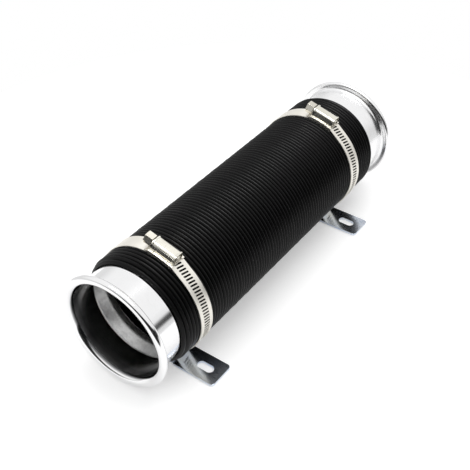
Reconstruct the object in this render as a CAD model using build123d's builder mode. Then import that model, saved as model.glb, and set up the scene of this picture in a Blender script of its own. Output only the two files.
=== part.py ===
from build123d import *
import os
from math import acos, atan2, cos, degrees, hypot, radians, sin

# Cold air intake pipe for a car: a pleated flexible duct, a spun aluminium adapter in each end,
# two worm-drive clamps, and two folded brackets that the clamps hold under the duct.
# Millimetres. The duct runs along +Y from its front end at the origin, +Z is up, brackets reach to +X.

# Flexible duct
duct_diameter = 84.0
duct_length = 249.0
duct_wall = 7.0
pleat_count = 31
pleat_depth = 2.6
end_pleat_drop = 1.8

# Spun adapters
collar_inset = 3.8
adapter_wall = 1.5
front_collar_reach = 23.5
rear_collar_reach = 25.8
bead_height = 5.8
bead_depth = 4.6
bead_edge = 1.9
mouth_flare = 4.5
shoulder_length = 7.5
spigot_length = 5.5
spigot_clearance = 0.3

# Clamp straps
strap_width = 12.0
strap_thickness = 0.6
strap_clearance = 0.1
lap_clearance = 0.05
front_strap_inset = 21.9
rear_strap_inset = 32.0
slot_count = 26
slot_pitch = 2.4
slot_width = 1.2
slot_length = 5.6
tail_overhang = 3.0

# Clamp housings, saddles and screws
clamp_angle = 75.5
housing_length = 19.0
housing_wall = 0.8
housing_corner = 2.2
housing_flange = 0.7
housing_rim_height = 0.4
housing_rim_width = 1.2
saddle_thickness = 0.5
saddle_side_clearance = 0.05
tab_length = 3.6
tab_clearance = 0.2
screw_diameter = 5.2
screw_clearance = 0.3
screw_head_flats = 7.6
screw_head_length = 6.0
screw_head_chamfer = 0.6
screw_neck_length = 0.8
screw_tip_length = 0.6
driver_slot_width = 1.2
driver_slot_depth = 2.0

# Folded brackets
bracket_width = 21.4
bracket_thickness = 2.0
bracket_reach = 54.5
bracket_tail = 14.0
bracket_corner = 2.5
clip_reach = 19.0
clip_leg = 17.0
clip_play = 0.65
clip_relief = 1.0
bolt_slot_length = 13.0
bolt_slot_width = 6.5
bolt_slot_place = 40.6
front_bracket_shift = -0.7
rear_bracket_shift = -2.0

# Radii and places worked out from the sizes above
duct_radius = duct_diameter / 2
bore_radius = duct_radius - duct_wall
collar_radius = duct_radius - collar_inset
bead_radius = collar_radius + bead_height
spigot_radius = bore_radius - spigot_clearance
front_strap_place = front_strap_inset
rear_strap_place = duct_length - rear_strap_inset
seat_radius = duct_radius + strap_clearance
saddle_top = seat_radius + saddle_thickness
lower_lap = saddle_top + lap_clearance
upper_lap = lower_lap + strap_thickness + lap_clearance
housing_floor = upper_lap + strap_thickness + lap_clearance
flange_top = housing_floor + housing_flange
housing_angle = degrees(housing_length / 2 / seat_radius)
saddle_inside = strap_width + 2 * saddle_side_clearance
saddle_width = saddle_inside + 2 * saddle_thickness
screw_radius = screw_diameter / 2
screw_bore = screw_radius + screw_clearance
screw_height = housing_floor + strap_clearance + screw_radius
arch_half = screw_bore + housing_wall
leg_top = -seat_radius
leg_underside = leg_top - bracket_thickness
plate_top = leg_underside - lap_clearance - strap_thickness - clip_play
plate_underside = plate_top - bracket_thickness


def polar(radius, angle):
    """Point of the pipe's cross-section at a radius and an angle from +X towards +Z."""
    return (radius * cos(radians(angle)), radius * sin(radians(angle)))


def section(place):
    """Plane across the pipe at a place along it, with X to the right and Z up."""
    return Plane.XZ.offset(-place)


def clamp_plane(place, radius, angle):
    """Plane that faces along the clamp's screw, at a radius and an angle round the pipe."""
    x, z = polar(radius, angle)
    along = (-sin(radians(clamp_angle)), 0, cos(radians(clamp_angle)))
    return Plane(origin=(x, place, z), x_dir=(0, -1, 0), z_dir=along)


def ring_sector(inner, outer, start, end):
    """Face between two radii and two angles round the pipe."""
    inner_arc = CenterArc((0, 0), inner, start, end - start)
    outer_arc = CenterArc((0, 0), outer, start, end - start)
    Line(inner_arc @ 0, outer_arc @ 0)
    Line(inner_arc @ 1, outer_arc @ 1)


def pleated_duct():
    """One-piece duct: pleats outside, a plain bore, and a taper in each end for the adapter's shoulder."""
    pitch = duct_length / pleat_count
    valley = duct_radius - pleat_depth
    mouth = collar_radius + spigot_clearance
    outside = [(valley, 0)]
    for pleat in range(pleat_count):
        at_end = pleat in (0, pleat_count - 1)
        crest = duct_radius - end_pleat_drop if at_end else duct_radius
        outside += [(crest, (pleat + 0.5) * pitch), (valley, (pleat + 1) * pitch)]
    inside = [
        (mouth, duct_length),
        (bore_radius, duct_length - shoulder_length),
        (bore_radius, shoulder_length),
        (mouth, 0),
    ]
    with BuildPart() as duct:
        with BuildSketch(Plane.XY):
            with BuildLine():
                Polyline(*outside, *inside, close=True)
            make_face()
        revolve(axis=Axis.Y)
    return duct


def spun_adapter(mouth_plane, reach):
    """Spun sheet adapter: rolled bead, collar, conical shoulder and the spigot that enters the duct."""
    throat = collar_radius - adapter_wall
    shoulder_end = reach + shoulder_length
    tip = shoulder_end + spigot_length
    with BuildPart() as adapter:
        with BuildSketch(mouth_plane):
            with BuildLine():
                flare = CenterArc((throat + mouth_flare, mouth_flare), mouth_flare, 180, 90)
                front_roll = CenterArc((bead_radius - bead_edge, bead_edge), bead_edge, 270, 90)
                back_roll = CenterArc((bead_radius - bead_edge, bead_depth - bead_edge), bead_edge, 0, 90)
                Line(flare @ 1, front_roll @ 0)
                Line(front_roll @ 1, back_roll @ 0)
                Polyline(
                    back_roll @ 1,
                    (collar_radius, bead_depth),
                    (collar_radius, reach),
                    (spigot_radius, shoulder_end),
                    (spigot_radius, tip),
                    (spigot_radius - adapter_wall, tip),
                    (spigot_radius - adapter_wall, shoulder_end),
                    (throat, reach),
                    flare @ 0,
                )
            make_face()
        revolve(axis=Axis.Y)
    return adapter


def strap_outline(place, pad_radius, pad_start, pad_end):
    """Inner outline of a strap pulled tight round the duct, over the pad and under the bracket's leg."""

    def lift(radius):
        return degrees(acos(seat_radius / radius))

    left = (-bracket_tail, leg_underside - lap_clearance)
    right = (clip_reach, leg_underside - lap_clearance)
    left_angle = degrees(atan2(left[1], left[0])) + 360
    right_angle = degrees(atan2(right[1], right[0])) + 360
    down_from = pad_end + lift(pad_radius)
    down_to = left_angle - lift(hypot(*left))
    up_from = right_angle + lift(hypot(*right))
    up_to = 360 + pad_start - lift(pad_radius)
    with BuildSketch(section(place)) as outline:
        with BuildLine():
            over_pad = CenterArc((0, 0), pad_radius, pad_start, pad_end - pad_start)
            far_side = CenterArc((0, 0), seat_radius, down_from, down_to - down_from)
            near_side = CenterArc((0, 0), seat_radius, up_from, up_to - up_from)
            Line(over_pad @ 1, far_side @ 0)
            Polyline(far_side @ 1, left, right, near_side @ 0)
            Line(near_side @ 1, over_pad @ 0)
        make_face()
    return outline.sketch


def strap_run(place, outline, start, end):
    """The stretch of strap between two angles that lies on an outline."""
    beyond = 2 * duct_radius
    with BuildSketch(section(place)) as run:
        add(outline)
        offset(amount=strap_thickness)
        add(outline, mode=Mode.SUBTRACT)
        with BuildLine():
            rim = CenterArc((0, 0), beyond, start, end - start)
            Polyline(rim @ 1, (0, 0), rim @ 0)
        make_face(mode=Mode.INTERSECT)
    return run.sketch


def clamp_strap(place):
    """One strip: it starts under the screw, goes round the duct and laps over its own start."""
    pad_start = clamp_angle - housing_angle
    pad_end = clamp_angle + housing_angle
    tail_end = pad_end + degrees(tail_overhang / upper_lap)
    lower = strap_outline(place, lower_lap, pad_start, pad_end)
    upper = strap_outline(place, upper_lap, pad_start, tail_end)
    joins_at = pad_start - degrees(acos(seat_radius / upper_lap))
    slot_step = degrees(slot_pitch / seat_radius)
    slot_depth = 2 * (upper_lap + 2 * strap_thickness - seat_radius)
    slot_planes = []
    for slot in range(slot_count):
        angle = pad_start - (slot + 0.5) * slot_step
        x, z = polar(seat_radius, angle)
        along = (-sin(radians(angle)), 0, cos(radians(angle)))
        slot_planes.append(Plane(origin=(x, place, z), x_dir=along, z_dir=(x, 0, z)))
    with BuildPart() as strap:
        extrude(strap_run(place, lower, pad_start, 360 + joins_at), amount=strap_width / 2, both=True)
        extrude(strap_run(place, upper, joins_at, tail_end), amount=strap_width / 2, both=True)
        with Locations(*slot_planes):
            Box(slot_width, slot_length, slot_depth, mode=Mode.SUBTRACT)
    return strap


def clamp_saddle(place):
    """Pressed plate under the strap: two side walls, and four corner tabs folded over the housing."""
    start = clamp_angle - housing_angle
    end = clamp_angle + housing_angle
    tab_angle = degrees(tab_length / flange_top)
    tab_bottom = flange_top + lap_clearance
    tab_top = tab_bottom + saddle_thickness
    wall_middle = (saddle_inside + saddle_thickness) / 2
    tab_inside = arch_half + housing_rim_height + tab_clearance
    tab_width = saddle_width / 2 - tab_inside
    tab_middle = tab_inside + tab_width / 2
    with BuildPart() as saddle:
        with BuildSketch(section(place)):
            with BuildLine():
                ring_sector(seat_radius, saddle_top, start, end)
            make_face()
        extrude(amount=saddle_width / 2, both=True)
        for side in (-1, 1):
            with BuildSketch(section(place + side * wall_middle)):
                with BuildLine():
                    ring_sector(seat_radius, flange_top, start, end)
                make_face()
            extrude(amount=saddle_thickness / 2, both=True)
            for tab_start in (start, end - tab_angle):
                with BuildSketch(section(place + side * wall_middle)):
                    with BuildLine():
                        ring_sector(seat_radius, tab_top, tab_start, tab_start + tab_angle)
                    make_face()
                extrude(amount=saddle_thickness / 2, both=True)
                with BuildSketch(section(place + side * tab_middle)):
                    with BuildLine():
                        ring_sector(tab_bottom, tab_top, tab_start, tab_start + tab_angle)
                    make_face()
                extrude(amount=tab_width / 2, both=True)
    return saddle


def arch_section(plane, grow):
    """Round-cornered section of the screw tunnel, from the strap up, grown by a rim's height."""
    half = arch_half + grow
    drop = screw_height - seat_radius
    with BuildSketch(plane) as arch:
        with Locations((0, (half - drop) / 2)):
            Rectangle(2 * half, half + drop)
        fillet(arch.vertices().group_by(Axis.Y)[-1], housing_corner + grow)
    return arch.sketch


def clamp_housing(place):
    """Pressed tunnel over the worm screw, with a rim at each end and a flange that sits on the strap."""
    axis_plane = clamp_plane(place, screw_height, clamp_angle)
    rim_offset = (housing_length - housing_rim_width) / 2
    start = clamp_angle - housing_angle
    end = clamp_angle + housing_angle
    with BuildPart() as housing:
        with BuildSketch(section(place)):
            with BuildLine():
                ring_sector(housing_floor, flange_top, start, end)
            make_face()
        extrude(amount=strap_width / 2, both=True)
        extrude(arch_section(axis_plane, 0), amount=housing_length / 2, both=True)
        for side in (-1, 1):
            rim = arch_section(axis_plane.offset(side * rim_offset), housing_rim_height)
            extrude(rim, amount=housing_rim_width / 2, both=True)
        with BuildSketch(axis_plane):
            Circle(screw_bore)
            Rectangle(2 * screw_bore, screw_height - seat_radius, align=(Align.CENTER, Align.MAX))
        extrude(amount=housing_length, both=True, mode=Mode.SUBTRACT)
        with BuildSketch(section(place)):
            Circle(housing_floor)
        extrude(amount=saddle_width, both=True, mode=Mode.SUBTRACT)
    return housing


def clamp_screw(place):
    """Worm screw: plain shank in the housing, and a slotted hexagon head outside it."""
    axis_plane = clamp_plane(place, screw_height, clamp_angle)
    shank_start = -housing_length / 2 - screw_tip_length
    head_start = housing_length / 2 + screw_neck_length
    head_end = head_start + screw_head_length
    with BuildPart() as screw:
        with BuildSketch(axis_plane.offset(shank_start)):
            Circle(screw_radius)
        extrude(amount=head_start - shank_start)
        with BuildSketch(axis_plane.offset(head_start)):
            RegularPolygon(screw_head_flats / 2, 6, major_radius=False)
        extrude(amount=screw_head_length)
        end_face = screw.faces().sort_by(Axis(axis_plane.origin, axis_plane.z_dir))[-1]
        chamfer(end_face.edges(), screw_head_chamfer)
        with BuildSketch(axis_plane.offset(head_end)):
            Rectangle(2 * screw_head_flats, driver_slot_width)
        extrude(amount=-driver_slot_depth, mode=Mode.SUBTRACT)
    return screw


def folded_bracket(place):
    """Flat plate with a bolt slot, and a leg folded back over it that the strap holds up to the duct."""
    front = place - bracket_width / 2
    rear = place + bracket_width / 2
    fold_radius = (leg_top - plate_underside) / 2
    fold_centre = (front + fold_radius, leg_top - fold_radius)
    leg_end = front + clip_leg
    plate_start = clip_reach + clip_relief
    with BuildPart() as bracket:
        with BuildSketch(Plane.XY.offset(plate_underside)) as plate:
            with BuildLine():
                Polyline(
                    (-bracket_tail, fold_centre[0]),
                    (plate_start, fold_centre[0]),
                    (plate_start, front),
                    (bracket_reach, front),
                    (bracket_reach, rear),
                    (-bracket_tail, rear),
                    close=True,
                )
            make_face()
            fillet(plate.vertices().group_by(Axis.X)[-1], bracket_corner)
            with Locations((bolt_slot_place, place)):
                SlotOverall(bolt_slot_length, bolt_slot_width, mode=Mode.SUBTRACT)
        extrude(amount=bracket_thickness)
        with BuildSketch(Plane.YZ.offset(-bracket_tail)):
            with BuildLine():
                outside = CenterArc(fold_centre, fold_radius, 90, 180)
                inside = CenterArc(fold_centre, fold_radius - bracket_thickness, 90, 180)
                Polyline(outside @ 0, (leg_end, leg_top), (leg_end, leg_underside), inside @ 0)
                Line(outside @ 1, inside @ 1)
            make_face()
        extrude(amount=bracket_tail + clip_reach)
    return bracket


def keep(piece, name):
    """Label a finished piece and write it to its own file."""
    piece.part.label = name
    export_step(piece.part, f"parts/{name}.step")


os.makedirs("parts", exist_ok=True)

front_mouth = Plane(origin=(0, -front_collar_reach, 0), x_dir=(1, 0, 0), z_dir=(0, 0, 1))
rear_mouth = Plane(origin=(0, duct_length + rear_collar_reach, 0), x_dir=(1, 0, 0), z_dir=(0, 0, -1))

keep(pleated_duct(), "flex_duct")
keep(spun_adapter(front_mouth, front_collar_reach), "front_adapter")
keep(spun_adapter(rear_mouth, rear_collar_reach), "rear_adapter")
for end, strap_place, shift in (
    ("front", front_strap_place, front_bracket_shift),
    ("rear", rear_strap_place, rear_bracket_shift),
):
    keep(clamp_strap(strap_place), f"{end}_clamp_strap")
    keep(clamp_saddle(strap_place), f"{end}_clamp_saddle")
    keep(clamp_housing(strap_place), f"{end}_clamp_housing")
    keep(clamp_screw(strap_place), f"{end}_clamp_screw")
    keep(folded_bracket(strap_place + shift), f"{end}_bracket")
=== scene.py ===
from math import acos, atan2, cos, hypot, pi, radians, sin, tan

import bmesh
import bpy
from mathutils import Matrix, Vector


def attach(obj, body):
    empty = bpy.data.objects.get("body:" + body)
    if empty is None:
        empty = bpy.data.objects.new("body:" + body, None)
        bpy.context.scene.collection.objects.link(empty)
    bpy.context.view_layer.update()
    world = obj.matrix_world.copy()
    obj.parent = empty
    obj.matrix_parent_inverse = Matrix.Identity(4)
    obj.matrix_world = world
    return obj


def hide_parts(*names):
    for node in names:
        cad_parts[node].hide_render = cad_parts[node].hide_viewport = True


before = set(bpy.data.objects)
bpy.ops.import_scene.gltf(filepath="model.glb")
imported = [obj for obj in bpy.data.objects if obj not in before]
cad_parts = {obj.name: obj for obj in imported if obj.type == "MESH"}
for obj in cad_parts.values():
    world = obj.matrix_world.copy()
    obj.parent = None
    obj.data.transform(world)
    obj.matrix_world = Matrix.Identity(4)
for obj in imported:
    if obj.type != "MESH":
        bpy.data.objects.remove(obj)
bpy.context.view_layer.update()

# Flexible duct: one tube of thin coated sheet, pressed into fine pleats so that it stretches and bends.
# The pleats come out slightly uneven, and the last ones at each end are pressed down over the adapter.
mm = 0.001
duct_length = 249 * mm
duct_radius = 42 * mm
bore_radius = 35 * mm
duct_facets = 104
pleat_count = 82
pleat_pitch = duct_length / pleat_count
pleat_depth = 1.6 * mm
pleat_swells = ((0.0016, 2.3), (0.0012, 5.1))
bore_ripple = 0.5 * mm
end_pleat_drop = 1.7 * mm
dropped_length = 1.5 * pleat_pitch
cuff_taper = 7.5 * mm
cuff_mouth = 38.5 * mm
crest_start = 41.2 * mm
crest_top = 42.05 * mm
black_coat = (0.0009, 0.0009, 0.001, 1)
rubbed_coat = (0.0016, 0.0016, 0.002, 1)


def draw_line(bm, points):
    """Chain of edges through points of the XY plane, where X is the distance from the pipe's axis."""
    row = [bm.verts.new((x, y, 0)) for x, y in points]
    for start, end in zip(row, row[1:]):
        bm.edges.new((start, end))
    return row


def verts_of(geom):
    """Corners among what a mesh operator gives back."""
    return [part for part in geom if isinstance(part, bmesh.types.BMVert)]


def face_outwards(bm):
    """Turn the faces of one closed shape outwards."""
    bmesh.ops.recalc_face_normals(bm, faces=bm.faces)
    if bm.calc_volume(signed=True) < 0:
        bmesh.ops.reverse_faces(bm, faces=bm.faces)


def turn_full(bm, facets):
    """Turn a profile all the way round the pipe's axis."""
    bmesh.ops.spin(
        bm,
        geom=bm.verts[:] + bm.edges[:],
        cent=(0, 0, 0),
        axis=(0, 1, 0),
        angle=2 * pi,
        steps=facets,
        use_merge=True,
    )
    bmesh.ops.remove_doubles(bm, verts=bm.verts, dist=0.001 * mm)
    face_outwards(bm)


def set_inputs(tree, node, inputs):
    """Set a node's inputs to plain values, or link them to the outputs of other nodes."""
    for socket, value in inputs.items():
        if isinstance(value, bpy.types.NodeSocket):
            tree.links.new(value, node.inputs[socket])
        else:
            node.inputs[socket].default_value = value


def shader_node(tree, kind, inputs=None, **options):
    """New node with its options and inputs set."""
    made = tree.nodes.new("ShaderNode" + kind)
    for option, setting in options.items():
        setattr(made, option, setting)
    set_inputs(tree, made, inputs or {})
    return made


def mix_colours(tree, first, second, share):
    """Colour between two others."""
    return shader_node(tree, "Mix", {"Factor": share, 6: first, 7: second}, data_type="RGBA").outputs[2]


def from_axis(tree, place):
    """Distance from the pipe's axis at a place on a piece."""
    across = shader_node(tree, "VectorMath", {0: place, 1: (1, 0, 1)}, operation="MULTIPLY")
    return shader_node(tree, "VectorMath", {0: across.outputs[0]}, operation="LENGTH").outputs["Value"]


def new_finish(name):
    """Material with its shader, and the place on the piece that its patterns follow."""
    finish = bpy.data.materials.new(name)
    finish.use_nodes = True
    tree = finish.node_tree
    place = shader_node(tree, "TexCoord").outputs["Object"]
    return finish, tree, tree.nodes["Principled BSDF"], place


def set_piece(bm, name, node, finish, crease):
    """Put a mesh in the scene in place of its solid, smooth but for edges sharper than the crease."""
    mesh = bpy.data.meshes.new(name)
    bm.to_mesh(mesh)
    bm.free()
    mesh.shade_smooth()
    mesh.set_sharp_from_angle(angle=radians(crease))
    mesh.materials.append(finish)
    piece = bpy.data.objects.new(name, mesh)
    bpy.context.scene.collection.objects.link(piece)
    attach(piece, "root")
    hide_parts(node)
    return piece


duct = bmesh.new()
valley = duct_radius - pleat_depth
half_fold = ((0, 0), (0.1, 0.32), (0.22, 0.63), (0.36, 0.88))
fold = (*half_fold, (0.5, 1), (0.64, 0.88), (0.78, 0.63), (0.9, 0.32), (1, 0))
ripple = ((0, 1), (0.5, 0), (1, 1))
draw_line(duct, [(valley + up * pleat_depth, along * pleat_pitch) for along, up in fold])
draw_line(duct, [(bore_radius + up * bore_ripple, along * pleat_pitch) for along, up in ripple])
first_pleat = duct.verts[:] + duct.edges[:]
for pleat in range(1, pleat_count):
    copied = verts_of(bmesh.ops.duplicate(duct, geom=first_pleat)["geom"])
    bmesh.ops.translate(duct, verts=copied, vec=(0, pleat * pleat_pitch, 0))
    uneven = 1 + sum(swell * sin(rate * pleat) for swell, rate in pleat_swells)
    bmesh.ops.scale(duct, verts=copied, vec=(uneven, 1, 1))
bmesh.ops.remove_doubles(duct, verts=duct.verts, dist=0.4 * mm)
for vert in duct.verts:
    from_end = min(vert.co.y, duct_length - vert.co.y)
    if vert.co.x < (bore_radius + valley) / 2:
        vert.co.x += max(0, 1 - from_end / cuff_taper) * (cuff_mouth - bore_radius)
    else:
        vert.co.x -= max(0, 1 - from_end / dropped_length) * end_pleat_drop
for rim in (0, duct_length):
    duct.edges.new([vert for vert in duct.verts if abs(vert.co.y - rim) < 0.01 * mm])
turn_full(duct, duct_facets)

satin_black, tree, shader, place = new_finish("satin_black_coat")
distance = from_axis(tree, place)
crest = shader_node(tree, "MapRange", {"Value": distance, "From Min": crest_start, "From Max": crest_top})
rubbing = shader_node(tree, "TexNoise", {"Vector": place, "Scale": 55, "Detail": 5, "Roughness": 0.6})
rubbed = shader_node(
    tree, "Math", {0: crest.outputs["Result"], 1: rubbing.outputs["Fac"]}, operation="MULTIPLY"
)
gloss = shader_node(tree, "MapRange", {"Value": rubbed.outputs[0], "To Min": 0.42, "To Max": 0.22})
grain = shader_node(tree, "TexNoise", {"Vector": place, "Scale": 1800, "Detail": 3})
pitted = shader_node(tree, "Bump", {"Strength": 0.15, "Distance": 0.04 * mm, "Height": grain.outputs["Fac"]})
black_look = {
    "Base Color": mix_colours(tree, black_coat, rubbed_coat, rubbed.outputs[0]),
    "Roughness": gloss.outputs["Result"],
    "Specular IOR Level": 0.16,
    "Normal": pitted.outputs["Normal"],
}
set_inputs(tree, shader, black_look)
set_piece(duct, "pleated_duct", "flex_duct", satin_black, crease=60)

# End adapters: spun from aluminium sheet and polished outside; the bore wall near each mouth is painted
# nearly black as painted shade.
# The mouth's edge is rolled outwards into a bead, and a short cone leads to the spigot in the duct's bore.
adapter_places = (("front", -23.5 * mm, 1, 23.5 * mm), ("rear", 274.8 * mm, -1, 25.8 * mm))
adapter_wall = 1.5 * mm
adapter_facets = 144
collar_radius = 38.2 * mm
throat = collar_radius - adapter_wall
bead_radius = 44 * mm
bead_depth = 4.6 * mm
bead_edge = 1.9 * mm
bead_fold = 2.2 * mm
mouth_flare = 4.5 * mm
cone_bend = 1.2 * mm
spigot_radius = 34.7 * mm
spigot_bore = spigot_radius - adapter_wall
spigot_length = 5.5 * mm
tip_outer_edge = 0.3 * mm
tip_inner_edge = 1.1 * mm
pipe_middle = 125.65 * mm
dark_from_middle = (131 * mm, 141 * mm)
buffed_until = 100 * mm
hazy_from = 250 * mm
smudge_share = 0.12
cone_dulling = 0.9
bright_aluminium = (0.93, 0.93, 0.935, 1)
# Nearly black colour for the bore wall near each mouth: painted shade of the bore.
mouth_shade_colour = (0.1, 0.1, 0.105, 1)
dull_aluminium = (0.97, 0.97, 0.96, 1)
stained_aluminium = (0.76, 0.76, 0.75, 1)


def new_group(name, *results):
    """Node group that gives its results at a place on a piece."""
    group = bpy.data.node_groups.new(name, "ShaderNodeTree")
    group.interface.new_socket("Place", in_out="INPUT", socket_type="NodeSocketVector")
    for result in results:
        group.interface.new_socket(result, in_out="OUTPUT", socket_type="NodeSocketFloat")
    place = group.nodes.new("NodeGroupInput").outputs["Place"]
    return group, place, group.nodes.new("NodeGroupOutput")


handling_marks, place, marks_out = new_group("handling_marks", "Smudge", "Specks")
cloud_look = {"Vector": place, "Scale": 42, "Detail": 6, "Roughness": 0.62, "Distortion": 0.8}
cloud = shader_node(handling_marks, "TexNoise", cloud_look).outputs["Fac"]
specks = shader_node(handling_marks, "TexNoise", {"Vector": place, "Scale": 700, "Detail": 2}).outputs["Fac"]
smudge = shader_node(handling_marks, "MapRange", {"Value": cloud, "From Min": 0.36, "From Max": 0.68})
spots = shader_node(handling_marks, "MapRange", {"Value": specks, "From Min": 0.6, "From Max": 0.78})
marks_found = {"Smudge": smudge.outputs["Result"], "Specks": spots.outputs["Result"]}
set_inputs(handling_marks, marks_out, marks_found)

spun_aluminium, tree, shader, place = new_finish("spun_aluminium")
distance = from_axis(tree, place)
along = shader_node(tree, "SeparateXYZ", {0: place}).outputs["Y"]
marks = shader_node(tree, "Group", {"Place": place}, node_tree=handling_marks)
cone_range = {"From Min": throat - 0.05 * mm, "From Max": throat - 0.4 * mm, "To Max": cone_dulling}
on_cone = shader_node(tree, "MapRange", {"Value": distance, **cone_range}).outputs["Result"]
duller = shader_node(
    tree, "Math", {0: marks.outputs["Smudge"], 1: smudge_share, 2: on_cone}, operation="MULTIPLY_ADD"
).outputs[0]
wall_range = {"From Min": throat + 1.1 * mm, "From Max": throat + 0.4 * mm}
bore_wall = shader_node(tree, "MapRange", {"Value": distance, **wall_range}).outputs["Result"]
past_middle = shader_node(tree, "Math", {0: along, 1: -pipe_middle}, operation="ADD")
from_middle = shader_node(tree, "Math", {0: past_middle.outputs[0]}, operation="ABSOLUTE")
mouth_range = {"From Min": dark_from_middle[0], "From Max": dark_from_middle[1]}
near_mouth = shader_node(tree, "MapRange", {"Value": from_middle.outputs[0], **mouth_range})
# Painted shade: the bore wall takes the nearly black colour near each mouth and fades back to bright metal
# deeper in.
painted_mouth_shade = shader_node(tree, "Math", {0: bore_wall, 1: near_mouth.outputs["Result"]}, operation="MULTIPLY")
stains = shader_node(tree, "TexNoise", {"Vector": place, "Scale": 260, "Detail": 5, "Roughness": 0.65})
stained = shader_node(tree, "MapRange", {"Value": stains.outputs["Fac"], "From Min": 0.42, "From Max": 0.62})
polished = mix_colours(tree, bright_aluminium, mouth_shade_colour, painted_mouth_shade.outputs[0])
unpolished = mix_colours(tree, dull_aluminium, stained_aluminium, stained.outputs["Result"])
buffing = {"Value": along, "From Min": buffed_until, "From Max": hazy_from, "To Max": 0.4}
less_buffed = shader_node(tree, "MapRange", buffing)
haze = shader_node(tree, "Math", {0: duller, 1: less_buffed.outputs["Result"]}, operation="ADD")
gloss = shader_node(tree, "MapRange", {"Value": haze.outputs[0], "To Min": 0.1, "To Max": 0.34})
bore_gloss_range = {"From Max": cone_dulling, "To Min": 0.16, "To Max": 0.36}
bore_gloss = shader_node(tree, "MapRange", {"Value": on_cone, **bore_gloss_range})
gloss_mixed = {0: bore_wall, 2: gloss.outputs["Result"], 3: bore_gloss.outputs["Result"]}
gloss_seen = shader_node(tree, "Mix", gloss_mixed, data_type="FLOAT")
lathe_place = shader_node(tree, "CombineXYZ", {"X": distance, "Y": along}).outputs[0]
lathe_look = {"Vector": lathe_place, "Scale": 1500, "Detail": 3, "Roughness": 0.6}
lathe_lines = shader_node(tree, "TexNoise", lathe_look).outputs["Fac"]
ridged = shader_node(tree, "Bump", {"Strength": 0.08, "Distance": 0.01 * mm, "Height": lathe_lines})
spun_look = {
    "Base Color": mix_colours(tree, polished, unpolished, duller),
    "Metallic": 1,
    "Roughness": gloss_seen.outputs[0],
    "Normal": ridged.outputs["Normal"],
}
set_inputs(tree, shader, spun_look)

for end, mouth, inwards, reach in adapter_places:
    cone_end = reach + cuff_taper
    tip = cone_end + spigot_length
    corners = (
        (throat, 0, mouth_flare),
        (bead_radius, 0, bead_edge),
        (bead_radius, bead_depth, bead_edge),
        (collar_radius, bead_depth, bead_fold),
        (collar_radius, reach, cone_bend),
        (spigot_radius, cone_end, cone_bend),
        (spigot_radius, tip, tip_outer_edge),
        (spigot_bore, tip, tip_inner_edge),
        (spigot_bore, cone_end, cone_bend),
        (throat, reach, cone_bend),
    )
    adapter = bmesh.new()
    row = [adapter.verts.new((radius, mouth + inwards * depth, 0)) for radius, depth, rounding in corners]
    adapter.faces.new(row)
    for corner, (radius, depth, rounding) in zip(row, corners):
        bmesh.ops.bevel(
            adapter, geom=[corner], offset=rounding, affect="VERTICES", segments=10, profile=0.5, material=-1
        )
    bmesh.ops.delete(adapter, geom=adapter.faces[:], context="FACES_ONLY")
    turn_full(adapter, adapter_facets)
    set_piece(adapter, f"{end}_spun_adapter", f"{end}_adapter", spun_aluminium, crease=50)

# Clamp straps: each is one zinc-plated steel strip, pulled tight round the duct and under the bracket's leg.
# Its start lies on the saddle, and its slotted tail runs over that start so that the worm can draw it along.
strap_places = (("front", 21.9 * mm), ("rear", 217 * mm))
strap_width = 12 * mm
strap_thickness = 0.6 * mm
strap_edge = 0.8 * mm
edge_lift = 0.12 * mm
slot_pitch = 2.4 * mm
slot_width = 1.3 * mm
slot_length = 5.8 * mm
slot_corner = 0.45 * mm
slot_slant = radians(12)
slot_count = 48
slot_cuts = (-0.9 * mm, -0.5 * mm, 0, 0.5 * mm, 0.9 * mm)
slotted_width = 7.8 * mm
clamp_angle = radians(75.5)
seat_radius = 42.1 * mm
lower_lap = 42.65 * mm
upper_lap = 43.3 * mm
pad_half = 9.5 * mm / seat_radius
tail_end = clamp_angle + pad_half + 3 * mm / upper_lap
leg_left = Vector((-14 * mm, 0, -44.15 * mm))
leg_right = Vector((19 * mm, 0, -44.15 * mm))
smudge_strength = 0.6
zinc = (0.9, 0.875, 0.81, 1)
dull_zinc = (0.8, 0.77, 0.7, 1)


def at_angle(angle):
    """Direction out from the pipe's axis at an angle from +X towards +Z."""
    return Vector((cos(angle), 0, sin(angle)))


def round_run(radius, start, end):
    """Stretch of strap that lies on a circle."""
    return abs(end - start) * radius, lambda share: (
        at_angle(start + share * (end - start)) * radius,
        at_angle(start + share * (end - start)),
    )


def straight_run(start, end):
    """Stretch of strap pulled straight between two points."""
    heading = (end - start).normalized()
    outwards = Vector((heading.z, 0, -heading.x))
    return (end - start).length, lambda share: (start.lerp(end, share), outwards)


def tangent_angle(point):
    """Angle between a point outside the duct and the place where a tight strap leaves the duct for it."""
    return acos(seat_radius / hypot(point.x, point.z))


pad_start = clamp_angle - pad_half
pad_end = clamp_angle + pad_half
pad_top = at_angle(pad_end) * lower_lap
lap_foot = at_angle(pad_start) * upper_lap
leaves_pad = pad_end + tangent_angle(pad_top)
meets_leg = atan2(leg_left.z, leg_left.x) + 2 * pi - tangent_angle(leg_left)
leaves_leg = atan2(leg_right.z, leg_right.x) + 2 * pi + tangent_angle(leg_right)
meets_lap = pad_start + 2 * pi - tangent_angle(lap_foot)
strap_runs = (
    round_run(lower_lap, pad_start, pad_end),
    straight_run(pad_top, at_angle(leaves_pad) * seat_radius),
    round_run(seat_radius, leaves_pad, meets_leg),
    straight_run(at_angle(meets_leg) * seat_radius, leg_left),
    straight_run(leg_left, leg_right),
    straight_run(leg_right, at_angle(leaves_leg) * seat_radius),
    round_run(seat_radius, leaves_leg, meets_lap),
    straight_run(at_angle(meets_lap) * seat_radius, lap_foot),
    round_run(upper_lap, pad_start, tail_end),
)
strap_length = sum(length for length, run in strap_runs)
tail_start = strap_length - slot_count * slot_pitch


def strap_place(along):
    """Point on the strap's inner face at a length from its start, and the direction out from it."""
    for length, run in strap_runs:
        if along <= length:
            return run(along / length)
        along -= length
    return run(1)


def edges_of(geom):
    """Edges among what a mesh operator gives back."""
    return [part for part in geom if isinstance(part, bmesh.types.BMEdge)]


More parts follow.
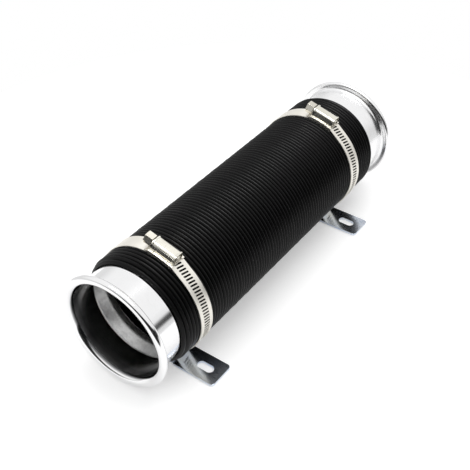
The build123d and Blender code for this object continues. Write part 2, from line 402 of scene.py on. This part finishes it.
def grow_edges(bm, edges, shift):
    """Pull a row of edges out into a strip of sheet, and give back the strip's far edges."""
    grown = bmesh.ops.extrude_edge_only(bm, edges=edges)["geom"]
    moved = verts_of(grown)
    bmesh.ops.translate(bm, verts=moved, vec=shift)
    far_verts = set(moved)
    return [edge for edge in edges_of(grown) if far_verts.issuperset(edge.verts)]


def middle_face(bm):
    """Face nearest to the mesh's origin."""
    return min(bm.faces, key=lambda face: face.calc_center_median().length)


strap = bmesh.new()
bmesh.ops.create_grid(strap, x_segments=1, y_segments=1, size=0.5)
bmesh.ops.scale(strap, verts=strap.verts, vec=(slot_pitch, slotted_width, 1))
bmesh.ops.inset_individual(strap, faces=strap.faces[:], thickness=0.2 * slot_pitch)
slot = middle_face(strap)
for vert in slot.verts:
    vert.co.x = slot_width / 2 * (1 if vert.co.x > 0 else -1)
    vert.co.y = slot_length / 2 * (1 if vert.co.y > 0 else -1)
bmesh.ops.bevel(
    strap, geom=slot.verts[:], offset=slot_corner, affect="VERTICES", segments=3, profile=0.5, material=-1
)
bmesh.ops.delete(strap, geom=[middle_face(strap)], context="FACES_ONLY")
for cut in slot_cuts:
    bmesh.ops.bisect_plane(
        strap,
        geom=strap.verts[:] + strap.edges[:] + strap.faces[:],
        plane_co=(cut, 0, 0),
        plane_no=(1, 0, 0),
        dist=0.001 * mm,
    )
bmesh.ops.translate(strap, verts=strap.verts, vec=(tail_start + slot_pitch / 2, 0, 0))
first_slot = strap.verts[:] + strap.edges[:] + strap.faces[:]
for step in range(1, slot_count):
    copied = verts_of(bmesh.ops.duplicate(strap, geom=first_slot)["geom"])
    bmesh.ops.translate(strap, verts=copied, vec=(step * slot_pitch, 0, 0))
bmesh.ops.create_grid(
    strap,
    x_segments=int(2 * tail_start / slot_pitch),
    y_segments=1,
    size=0.5,
    matrix=Matrix.Translation((tail_start / 2, 0, 0)) @ Matrix.Diagonal((tail_start, slotted_width, 1, 1)),
)
bmesh.ops.remove_doubles(strap, verts=strap.verts, dist=0.01 * mm)
for vert in strap.verts:
    lean = min(1, vert.co.x / tail_start, (strap_length - vert.co.x) / slot_pitch)
    vert.co.x -= vert.co.y * tan(slot_slant) * lean
for side in (-1, 1):
    rim_place = side * slotted_width / 2
    rim = [
        edge for edge in strap.edges if all(abs(vert.co.y - rim_place) < 0.001 * mm for vert in edge.verts)
    ]
    for next_place in (side * (strap_width / 2 - strap_edge), side * strap_width / 2):
        rim = grow_edges(strap, rim, (0, next_place - rim_place, 0))
        rim_place = next_place
for vert in strap.verts:
    point, outwards = strap_place(vert.co.x)
    turned_up = edge_lift if abs(vert.co.y) > strap_width / 2 - strap_edge / 2 else 0
    vert.co = point + outwards * turned_up + Vector((0, vert.co.y, 0))
bmesh.ops.recalc_face_normals(strap, faces=strap.faces)
outermost = max(strap.faces, key=lambda face: face.calc_center_median().x)
if outermost.normal.x < 0:
    bmesh.ops.reverse_faces(strap, faces=strap.faces)
bmesh.ops.solidify(strap, geom=strap.faces[:], thickness=-strap_thickness)
if strap.calc_volume(signed=True) < 0:
    bmesh.ops.reverse_faces(strap, faces=strap.faces)

rolled_grain, place, grain_out = new_group("rolled_grain", "Lines")
stretched = shader_node(rolled_grain, "VectorMath", {0: place, 1: (60, 1900, 60)}, operation="MULTIPLY")
strokes_look = {"Vector": stretched.outputs[0], "Scale": 1, "Detail": 4, "Roughness": 0.65}
strokes = shader_node(rolled_grain, "TexNoise", strokes_look)
set_inputs(rolled_grain, grain_out, {"Lines": strokes.outputs["Fac"]})


def plated_steel(name, bright, wear_and_reflection_tint, smooth, rough, line_strength):
    """Plated steel: a bright coat, duller where it was handled, over the fine lines of rolled sheet. On the
    bracket that second colour is a bluish painted reflection laid on the handling marks.
    """
    finish, tree, shader, place = new_finish(name)
    marks = shader_node(tree, "Group", {"Place": place}, node_tree=handling_marks)
    lines = shader_node(tree, "Group", {"Place": place}, node_tree=rolled_grain).outputs["Lines"]
    faint = shader_node(tree, "Math", {0: marks.outputs["Smudge"], 1: smudge_strength}, operation="MULTIPLY")
    wear_and_reflection_mask = shader_node(tree, "Math", {0: faint.outputs[0], 1: marks.outputs["Specks"]}, operation="MAXIMUM")
    gloss = shader_node(tree, "MapRange", {"Value": lines, "To Min": smooth, "To Max": rough})
    ridged = shader_node(tree, "Bump", {"Strength": line_strength, "Distance": 0.02 * mm, "Height": lines})
    plated_look = {
        "Base Color": mix_colours(tree, bright, wear_and_reflection_tint, wear_and_reflection_mask.outputs[0]),
        "Metallic": 1,
        "Roughness": gloss.outputs["Result"],
        "Normal": ridged.outputs["Normal"],
    }
    set_inputs(tree, shader, plated_look)
    return finish


strap_zinc = plated_steel("strap_zinc", zinc, dull_zinc, smooth=0.3, rough=0.5, line_strength=0.2)
for end, place in strap_places:
    strip = strap.copy()
    bmesh.ops.translate(strip, verts=strip.verts, vec=(0, place, 0))
    set_piece(strip, f"{end}_slotted_strap", f"{end}_clamp_strap", strap_zinc, crease=40)

# Clamp saddles: a pressed steel plate under the strap, with a wall along each side of the strap.
# Four corner tabs are folded from the walls over the housing's flange and hold the clamp together.
saddle_sheet = 0.5 * mm
saddle_edge = 0.1 * mm
saddle_middle = 42.35 * mm
saddle_half = 6.3 * mm
tab_height = 44.95 * mm
tab_inside = 4.8 * mm
tab_turn = 3.6 * mm / (44.65 * mm)


def add_sheet(piece, thickness, edge):
    """Give a sheet its thickness and slightly rounded edges."""
    wall = piece.modifiers.new("sheet", "SOLIDIFY")
    wall.thickness = thickness
    wall.offset = 0
    rounding = piece.modifiers.new("edges", "BEVEL")
    rounding.width = edge
    rounding.segments = 2
    rounding.limit_method = "ANGLE"
    rounding.angle_limit = radians(40)
    rounding.use_clamp_overlap = True
    piece.modifiers.new("even_shading", "WEIGHTED_NORMAL").keep_sharp = True


saddle = bmesh.new()
pressed = draw_line(
    saddle,
    (
        (tab_height, -tab_inside),
        (tab_height, -saddle_half),
        (saddle_middle, -saddle_half),
        (saddle_middle, saddle_half),
        (tab_height, saddle_half),
        (tab_height, tab_inside),
    ),
)
bmesh.ops.rotate(saddle, verts=pressed, cent=(0, 0, 0), matrix=Matrix.Rotation(-pad_start, 3, "Y"))
last = saddle.verts[:] + saddle.edges[:]
for turn, steps in ((tab_turn, 2), (2 * pad_half - 2 * tab_turn, 5), (tab_turn, 2)):
    turned = bmesh.ops.spin(saddle, geom=last, cent=(0, 0, 0), axis=(0, -1, 0), angle=turn, steps=steps)
    last = turned["geom_last"]
bmesh.ops.remove_doubles(saddle, verts=saddle.verts, dist=0.001 * mm)


def between_tabs(face):
    """Whether a face lies where the folded strip is cut away between two tabs."""
    middle = face.calc_center_median()
    return (
        abs(middle.y) < saddle_half - 0.5 * mm
        and hypot(middle.x, middle.z) > tab_height - 0.95 * mm
        and abs(atan2(middle.z, middle.x) - clamp_angle) < pad_half - tab_turn
    )


cut_away = [face for face in saddle.faces if between_tabs(face)]
bmesh.ops.delete(saddle, geom=cut_away, context="FACES")
bmesh.ops.recalc_face_normals(saddle, faces=saddle.faces)
for end, place in strap_places:
    plate = saddle.copy()
    bmesh.ops.translate(plate, verts=plate.verts, vec=(0, place, 0))
    piece = set_piece(plate, f"{end}_folded_saddle", f"{end}_clamp_saddle", strap_zinc, crease=40)
    add_sheet(piece, saddle_sheet, saddle_edge)

# Screw housings: a tunnel pressed from thicker steel sheet, with a flange that sits on the strap
# and a rim turned out at each end. It is plated with the rest of the clamp.
housing_sheet = 0.7 * mm
housing_edge = 0.15 * mm
housing_half = 9.5 * mm
housing_steps = (0.9, 0.5, 1.1, 2.5, 2.5, 2, 2, 2.5, 2.5, 1.1, 0.5, 0.9)
flange_height = 44.3 * mm
flange_half = 6 * mm
curved_below = 48 * mm
curve_fade = 2.5 * mm
tunnel_half = 3.5 * mm
tunnel_foot = 4.6 * mm
foot_rounding = 0.5 * mm
roof_height = 50 * mm
roof_rounding = 1.2 * mm
rim_start = 8.1 * mm
rim_run = 0.5 * mm
rim_growth = 0.4 * mm
housing_zinc = (0.88, 0.86, 0.78, 1)
housing_dull = (0.7, 0.67, 0.58, 1)


def clamp_frame(place):
    """Clamp's own axes: X along the screw towards its head, Z out from the pipe's axis."""
    along = Vector((-sin(clamp_angle), 0, cos(clamp_angle)))
    axes = Matrix((along, Vector((0, -1, 0)), at_angle(clamp_angle))).transposed().to_4x4()
    return Matrix.Translation((0, place, 0)) @ axes


housing = bmesh.new()
hat = (
    (-flange_half, flange_height),
    (-tunnel_foot, flange_height),
    (-tunnel_half, roof_height),
    (tunnel_half, roof_height),
    (tunnel_foot, flange_height),
    (flange_half, flange_height),
)
row = [housing.verts.new((-housing_half, across, height)) for across, height in hat]
housing.faces.new(row)
for bends, rounding, segments in (((row[1], row[4]), foot_rounding, 3), ((row[2], row[3]), roof_rounding, 6)):
    bmesh.ops.bevel(
        housing, geom=bends, offset=rounding, affect="VERTICES", segments=segments, profile=0.5, material=-1
    )
bmesh.ops.delete(housing, geom=housing.faces[:], context="FACES_ONLY")
across_bottom = [
    edge for edge in housing.edges if abs(edge.verts[0].co.y - edge.verts[1].co.y) > 2 * flange_half - 1 * mm
]
bmesh.ops.delete(housing, geom=across_bottom, context="EDGES")
mouth_line = housing.edges[:]
for step in housing_steps:
    mouth_line = grow_edges(housing, mouth_line, (step * mm, 0, 0))
for vert in housing.verts:
    on_flange = min(1, max(0, (curved_below - vert.co.z) / curve_fade))
    at_rim = min(1, max(0, (abs(vert.co.x) - rim_start) / rim_run)) * (1 - on_flange)
    strap_curve = flange_height - (flange_height**2 - vert.co.x**2) ** 0.5
    vert.co.z += at_rim * rim_growth - on_flange * strap_curve
    vert.co.y *= 1 + at_rim * rim_growth / tunnel_half
bmesh.ops.recalc_face_normals(housing, faces=housing.faces)
roof = max(housing.faces, key=lambda face: face.calc_center_median().z)
if roof.normal.z < 0:
    bmesh.ops.reverse_faces(housing, faces=housing.faces)
housing_plate = plated_steel(
    "housing_zinc", housing_zinc, housing_dull, smooth=0.1, rough=0.24, line_strength=0.12
)
for end, place in strap_places:
    tunnel = housing.copy()
    bmesh.ops.transform(tunnel, verts=tunnel.verts, matrix=clamp_frame(place))
    piece = set_piece(
        tunnel, f"{end}_screw_housing", f"{end}_clamp_housing", housing_plate, crease=40
    )
    add_sheet(piece, housing_sheet, housing_edge)

# Worm screws: turned steel with a rolled worm thread that runs in the strap's slots, inside the housing.
# The hexagon head has a slot across it, so that either a spanner or a driver tightens the clamp.
screw_height = 46.65 * mm
thread_radius = 2.6 * mm
thread_root = 2 * mm
thread_pitch = 2.4 * mm
thread_turns = 10
thread_facets = 20
tooth_flank = 0.9 * mm
tooth_top = 0.5 * mm
shank_start = -10.1 * mm
head_start = 10.3 * mm
head_length = 6 * mm
head_flats = 8.2 * mm
head_edge = 0.25 * mm
driver_slot = 1.2 * mm
driver_slot_depth = 2 * mm
screw_zinc = (0.8, 0.77, 0.69, 1)
screw_dull = (0.55, 0.52, 0.45, 1)

screw = bmesh.new()
tooth = (
    (0, thread_root),
    (tooth_flank, thread_radius),
    (tooth_flank + tooth_top, thread_radius),
    (thread_pitch, thread_root),
)
row = [screw.verts.new((shank_start - thread_pitch + along, 0, radius)) for along, radius in tooth]
for start, end in zip(row, row[1:]):
    screw.edges.new((start, end))
bmesh.ops.spin(
    screw,
    geom=screw.verts[:] + screw.edges[:],
    cent=(0, 0, 0),
    axis=(1, 0, 0),
    dvec=(thread_pitch / thread_facets, 0, 0),
    angle=2 * pi * thread_turns,
    steps=thread_facets * thread_turns,
)
bmesh.ops.remove_doubles(screw, verts=screw.verts, dist=0.01 * mm)
for cut, outside in ((shank_start, (-1, 0, 0)), (head_start, (1, 0, 0))):
    cut_line = bmesh.ops.bisect_plane(
        screw,
        geom=screw.verts[:] + screw.edges[:] + screw.faces[:],
        plane_co=(cut, 0, 0),
        plane_no=outside,
        clear_outer=True,
        dist=0.001 * mm,
    )["geom_cut"]
    bmesh.ops.contextual_create(screw, geom=edges_of(cut_line))
face_outwards(screw)
shank = set(screw.faces)
hexagon = bmesh.ops.create_circle(
    screw,
    cap_ends=True,
    segments=6,
    radius=head_flats / 2 / cos(pi / 6),
    matrix=Matrix.Translation((head_start, 0, 0)) @ Matrix.Rotation(pi / 2, 4, "Y"),
)["verts"]


def raise_face(bm, face, height):
    """Pull a face of the screw's head out along the screw."""
    grown = bmesh.ops.extrude_face_region(bm, geom=[face, *face.edges])["geom"]
    bmesh.ops.translate(bm, verts=verts_of(grown), vec=(height, 0, 0))


raise_face(screw, hexagon[0].link_faces[0], head_length - driver_slot_depth)
slot_floor = head_start + head_length - driver_slot_depth


def on_slot_floor(vert):
    """Whether a corner of the head lies at the driver slot's depth."""
    return abs(vert.co.x - slot_floor) < 0.01 * mm


for side in (-1, 1):
    floor_verts = [vert for vert in screw.verts if on_slot_floor(vert)]
    floor_edges = [edge for edge in screw.edges if all(on_slot_floor(vert) for vert in edge.verts)]
    floor_faces = [face for face in screw.faces if all(on_slot_floor(vert) for vert in face.verts)]
    bmesh.ops.bisect_plane(
        screw,
        geom=floor_verts + floor_edges + floor_faces,
        plane_co=(0, 0, side * driver_slot / 2),
        plane_no=(0, 0, 1),
        dist=0.001 * mm,
    )
for side in (-1, 1):
    floor_faces = [face for face in screw.faces if all(on_slot_floor(vert) for vert in face.verts)]
    half = max(floor_faces, key=lambda face: face.calc_center_median().z * side)
    raise_face(screw, half, driver_slot_depth)
bmesh.ops.recalc_face_normals(screw, faces=[face for face in screw.faces if face not in shank])
bmesh.ops.translate(screw, verts=screw.verts, vec=(0, 0, screw_height))
turned_plate = plated_steel("screw_zinc", screw_zinc, screw_dull, smooth=0.14, rough=0.3, line_strength=0.15)
for end, place in strap_places:
    worm = screw.copy()
    bmesh.ops.transform(worm, verts=worm.verts, matrix=clamp_frame(place))
    piece = set_piece(worm, f"{end}_worm_screw", f"{end}_clamp_screw", turned_plate, crease=35)
    rounding = piece.modifiers.new("edges", "BEVEL")
    rounding.width = head_edge
    rounding.segments = 2
    rounding.limit_method = "ANGLE"
    rounding.angle_limit = radians(50)

# Brackets: folded from one strip of thicker steel, with a slot in the outer plate for a bolt to the car.
# The inner edge is folded back over the plate, and the strap passes under that leg and pulls it to the duct.
bracket_places = (("front", 21.2 * mm), ("rear", 215 * mm))
bracket_sheet = 2 * mm
bracket_edge = 0.35 * mm
bracket_half = 10.7 * mm
plate_middle = -46.4 * mm
plate_start = 20 * mm
plate_end = 54.5 * mm
plate_corner = 2.5 * mm
fold_radius = 1.65 * mm
fold_inset = 2.65 * mm
fold_line = fold_inset - bracket_half
relief = 1 * mm
leg_length = 33 * mm
leg_width = 17 * mm
bolt_slot_place = 40.6 * mm
bolt_slot_half = 3.25 * mm
mirror_plate = (0.78, 0.81, 0.84, 1)
# Bluish colour put on the bracket where the handling marks fall: a painted reflection, on top of the plate's
# own blue tint.
handled_and_reflection_blue = (0.55, 0.66, 0.9, 1)

bracket = bmesh.new()
outline = (
    (plate_start, fold_line),
    (plate_start, -bracket_half),
    (plate_end, -bracket_half),
    (plate_end, bracket_half),
    (plate_start, bracket_half),
)
row = [bracket.verts.new((x, y, plate_middle)) for x, y in outline]
bracket.faces.new(row)
bmesh.ops.bevel(
    bracket, geom=row[2:4], offset=plate_corner, affect="VERTICES", segments=6, profile=0.5, material=-1
)
bmesh.ops.delete(bracket, geom=bracket.faces[:], context="FACES_ONLY")
bolt_slot = bmesh.ops.create_circle(
    bracket, segments=32, radius=bolt_slot_half, matrix=Matrix.Translation((bolt_slot_place, 0, plate_middle))
)["verts"]
for vert in bolt_slot:
    vert.co.x += bolt_slot_half * (1 if vert.co.x > bolt_slot_place else -1)
bmesh.ops.triangle_fill(bracket, edges=bracket.edges[:], use_beauty=True, normal=(0, 0, 1))
inner_edge = [
    edge
    for edge in bracket.edges
    if all(abs(vert.co.x - plate_start) < 0.01 * mm for vert in edge.verts)
    and edge.verts[0].co.y + edge.verts[1].co.y > 0
]
for reach in (relief, leg_length):
    inner_edge = grow_edges(bracket, inner_edge, (-reach, 0, 0))
bend_line = [
    edge
    for edge in bracket.edges
    if all(abs(vert.co.y - fold_line) < 0.01 * mm for vert in edge.verts)
    and max(vert.co.x for vert in edge.verts) < plate_start - 0.5 * relief
]
folded = bmesh.ops.spin(
    bracket,
    geom=bend_line + [vert for edge in bend_line for vert in edge.verts],
    cent=(0, fold_line, plate_middle + fold_radius),
    axis=(-1, 0, 0),
    angle=pi,
    steps=8,
)["geom_last"]
grow_edges(bracket, edges_of(folded), (0, leg_width - fold_inset, 0))
bmesh.ops.remove_doubles(bracket, verts=bracket.verts, dist=0.01 * mm)
bmesh.ops.recalc_face_normals(bracket, faces=bracket.faces)
bracket_plate = plated_steel(
    "bracket_plate", mirror_plate, handled_and_reflection_blue, smooth=0.13, rough=0.27, line_strength=0.04
)
for end, place in bracket_places:
    strip = bracket.copy()
    bmesh.ops.translate(strip, verts=strip.verts, vec=(0, place, 0))
    piece = set_piece(strip, f"{end}_folded_bracket", f"{end}_bracket", bracket_plate, crease=40)
    add_sheet(piece, bracket_sheet, bracket_edge)

# Floor: a white studio table under the brackets, which keeps the soft shadow.
# It glows a little so that only the shadow is darker than the backdrop, and is open from below.
floor_height = -47.45 * mm
floor_middle = 140 * mm
floor_radius = 360 * mm
glow_seen = 0.34
glow_mirrored = 0.15
table = bmesh.new()
bmesh.ops.create_circle(table, cap_ends=True, segments=64, radius=floor_radius)
bmesh.ops.translate(table, verts=table.verts, vec=(0, floor_middle, floor_height))
table_mesh = bpy.data.meshes.new("floor")
table.to_mesh(table_mesh)
table.free()
floor = bpy.data.objects.new("floor", table_mesh)
bpy.context.scene.collection.objects.link(floor)

white_table, tree, shader, place = new_finish("white_table")
rays = shader_node(tree, "LightPath").outputs
reflected = shader_node(
    tree, "Math", {0: rays["Is Glossy Ray"], 1: rays["Is Transmission Ray"]}, operation="MAXIMUM"
)
mirrored = shader_node(tree, "Math", {0: reflected.outputs[0], 1: glow_mirrored}, operation="MULTIPLY")
glow = shader_node(
    tree, "Math", {0: rays["Is Camera Ray"], 1: glow_seen, 2: mirrored.outputs[0]}, operation="MULTIPLY_ADD"
)
table_look = {
    "Base Color": (0.9, 0.9, 0.9, 1),
    "Roughness": 0.9,
    "Specular IOR Level": 0,
    "Emission Color": (1, 1, 1, 1),
    "Emission Strength": glow.outputs[0],
}
set_inputs(tree, shader, table_look)
facing = shader_node(tree, "NewGeometry")
underside = shader_node(tree, "BsdfTransparent")
table_sides = shader_node(
    tree, "MixShader", {0: facing.outputs["Backfacing"], 1: shader.outputs[0], 2: underside.outputs[0]}
)
set_inputs(tree, tree.nodes["Material Output"], {"Surface": table_sides.outputs[0]})
floor.data.materials.append(white_table)

# Light: a wide softbox above the pipe, and a panel that only adds sheen to the gloss of duct and metal.
# The pale room gives more light from above than from its walls, and the metal mirrors its one dark wall.
lamp_target = Vector((0, 0.12, 0))
for lamp_name, lamp_place, lamp_size, lamp_power, lights_matt in (
    ("overhead_softbox", Vector((0, 0.14, 0.9)), (0.8, 0.3), 3, True),
    ("sheen_panel", Vector((-0.07, 0.22, 0.9)), (0.6, 0.24), 4.5, False),
):
    lamp_data = bpy.data.lights.new(lamp_name, "AREA")
    lamp_data.shape = "RECTANGLE"
    lamp_data.size, lamp_data.size_y = lamp_size
    lamp_data.energy = lamp_power
    lamp = bpy.data.objects.new(lamp_name, lamp_data)
    lamp.visible_diffuse = lights_matt
    lamp.location = lamp_place
    lamp.rotation_euler = (lamp_target - lamp_place).to_track_quat("-Z", "Y").to_euler()
    bpy.context.scene.collection.objects.link(lamp)

dark_wall_heading = (0.707, -0.707, 0)
dark_top_slope = -0.6
dark_top_edge = (0.14, 0)
dark_foot_slope = 0.32
dark_foot_edge = (0.02, 0.1)
dark_side_edge = (-0.1, 0.25)
wall_tones = ((0.1, (0.77, 0.77, 0.77, 1)), (0.4, (0.95, 0.95, 0.95, 1)))
dark_tone = (0.02, 0.02, 0.02, 1)
room = bpy.data.worlds.new("pale_room")
room.use_nodes = True
room.cycles.sampling_method = "NONE"
bpy.context.scene.world = room
tree = room.node_tree
rays = shader_node(tree, "LightPath").outputs
heading = shader_node(tree, "TexCoord").outputs["Generated"]
height = shader_node(tree, "SeparateXYZ", {0: heading}).outputs["Z"]


def soft_step(value, edge):
    """Rise from 0 to 1 as a value goes from one end of an edge to the other, soft at both."""
    step = {"Value": value, "From Min": edge[0], "From Max": edge[1]}
    return shader_node(tree, "MapRange", step, interpolation_type="SMOOTHSTEP").outputs["Result"]


towards = shader_node(
    tree, "VectorMath", {0: heading, 1: dark_wall_heading}, operation="DOT_PRODUCT"
).outputs["Value"]
top = shader_node(tree, "Math", {0: towards, 1: dark_top_slope, 2: height}, operation="MULTIPLY_ADD")
foot = shader_node(tree, "Math", {0: towards, 1: dark_foot_slope, 2: height}, operation="MULTIPLY_ADD")
below_top = soft_step(top.outputs[0], dark_top_edge)
above_foot = soft_step(foot.outputs[0], dark_foot_edge)
on_dark_side = soft_step(towards, dark_side_edge)
dark_wall = shader_node(tree, "Math", {0: below_top, 1: above_foot}, operation="MULTIPLY")
dark_part = shader_node(tree, "Math", {0: dark_wall.outputs[0], 1: on_dark_side}, operation="MULTIPLY")
pale_walls = shader_node(tree, "ValToRGB", {"Fac": height})
for stop, (position, tone) in zip(pale_walls.color_ramp.elements, wall_tones):
    stop.position = position
    stop.color = tone
room_colour = mix_colours(tree, pale_walls.outputs["Color"], dark_tone, dark_part.outputs[0])
brighter_above = shader_node(tree, "MapRange", {"Value": height, "To Min": 0.25, "To Max": 1.1})
fill = tree.nodes["Background"]
set_inputs(tree, fill, {"Color": brighter_above.outputs["Result"], "Strength": 1})
room_mirrored = shader_node(tree, "Background", {"Color": room_colour, "Strength": 1})
backdrop = shader_node(tree, "Background", {"Color": (1, 1, 1, 1), "Strength": 1})
mirrored = shader_node(
    tree, "Math", {0: rays["Is Glossy Ray"], 1: rays["Is Transmission Ray"]}, operation="MAXIMUM"
)
room_light = shader_node(
    tree, "MixShader", {0: mirrored.outputs[0], 1: fill.outputs[0], 2: room_mirrored.outputs[0]}
)
room_seen = shader_node(
    tree, "MixShader", {0: rays["Is Camera Ray"], 1: room_light.outputs[0], 2: backdrop.outputs[0]}
)
set_inputs(tree, tree.nodes["World Output"], {"Surface": room_seen.outputs[0]})

# Camera: from the front, right and above, along the photo's line of sight.
# Its place, turn and lens were fitted to the outlines of the duct and of both adapters.
camera_data = bpy.data.cameras.new("camera")
camera_data.lens = 62.476
camera_data.sensor_width = 36
camera = bpy.data.objects.new("camera", camera_data)
bpy.context.scene.collection.objects.link(camera)
right = Vector((0.812884, 0.582427, 0))
up = Vector((-0.375706, 0.524366, 0.764134))
back = Vector((0.445052, -0.621152, 0.645069))
camera_place = Vector((0.27228, -0.26753, 0.38501))
camera_turn = Matrix((right, up, back)).transposed().to_4x4()
camera.matrix_world = Matrix.Translation(camera_place) @ camera_turn
bpy.context.scene.camera = camera
bpy.context.scene.view_settings.view_transform = "Standard"
